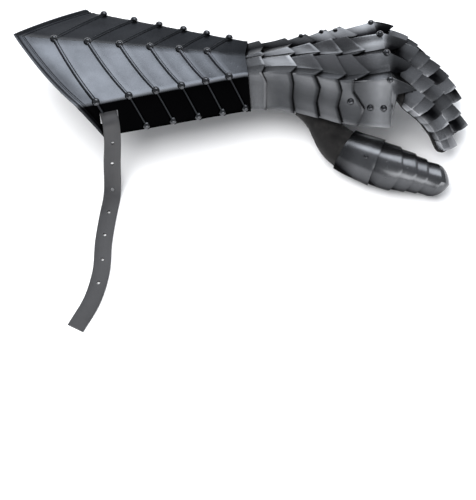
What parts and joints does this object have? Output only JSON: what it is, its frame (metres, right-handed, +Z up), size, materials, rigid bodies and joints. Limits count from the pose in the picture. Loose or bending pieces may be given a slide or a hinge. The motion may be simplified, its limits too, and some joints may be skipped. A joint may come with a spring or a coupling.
{
  "type": "armour gauntlet",
  "caption": "Left-hand gauntlet of blackened steel plates and finger scales riveted over a suede glove, with a flared ribbed cuff and a closing strap.",
  "frame": {"origin": "centre of the bounding box in plan, at the surface that the gauntlet lies on", "axes": "+X towards the fingertips, +Y towards the little finger's side, +Z up off the surface; the gauntlet lies back up, rolled and pitched to its own rest"},
  "size_m": [0.4028, 0.307, 0.0906],
  "materials": {
    "cuff_steel": "satin blackened steel",
    "hand_steel": "satin blackened steel",
    "scale_steel": "satin blackened steel",
    "thumb_steel": "satin blackened steel",
    "rivet": "glossy blackened steel",
    "suede": "matte black suede",
    "strap": "smooth dark grey leather",
    "nickel": "polished nickel"
  },
  "bodies": {
    "root": {"cuff_plate": "cuff_steel", "wrist_lame_1": "hand_steel", "wrist_lame_2": "hand_steel", "hand_lame_1": "hand_steel", "hand_lame_2": "hand_steel", "hand_lame_3": "hand_steel", "knuckle_plate": "hand_steel", "index_scale_1": "scale_steel", "index_scale_2": "scale_steel", "index_scale_3": "scale_steel", "index_scale_4": "scale_steel", "index_scale_5": "scale_steel", "index_scale_6": "scale_steel", "middle_scale_1": "scale_steel", "middle_scale_2": "scale_steel", "middle_scale_3": "scale_steel", "middle_scale_4": "scale_steel", "middle_scale_5": "scale_steel", "middle_scale_6": "scale_steel", "ring_scale_1": "scale_steel", "ring_scale_2": "scale_steel", "ring_scale_3": "scale_steel", "ring_scale_4": "scale_steel", "ring_scale_5": "scale_steel", "ring_scale_6": "scale_steel", "pinky_scale_1": "scale_steel", "pinky_scale_2": "scale_steel", "pinky_scale_3": "scale_steel", "pinky_scale_4": "scale_steel", "pinky_scale_5": "scale_steel", "thumb_base_plate": "thumb_steel", "thumb_scale_1": "thumb_steel", "thumb_scale_2": "thumb_steel", "thumb_scale_3": "thumb_steel", "thumb_tip_plate": "thumb_steel", "glove_body": "suede", "glove_index": "suede", "glove_middle": "suede", "glove_ring": "suede", "glove_pinky": "suede", "glove_thumb": "suede", "palm_strap": "strap", "buckle_strap": "strap", "buckle": "nickel", "cuff_strap": "strap", "cuff_strap_rivet": "rivet"}
  },
  "joints": []
}
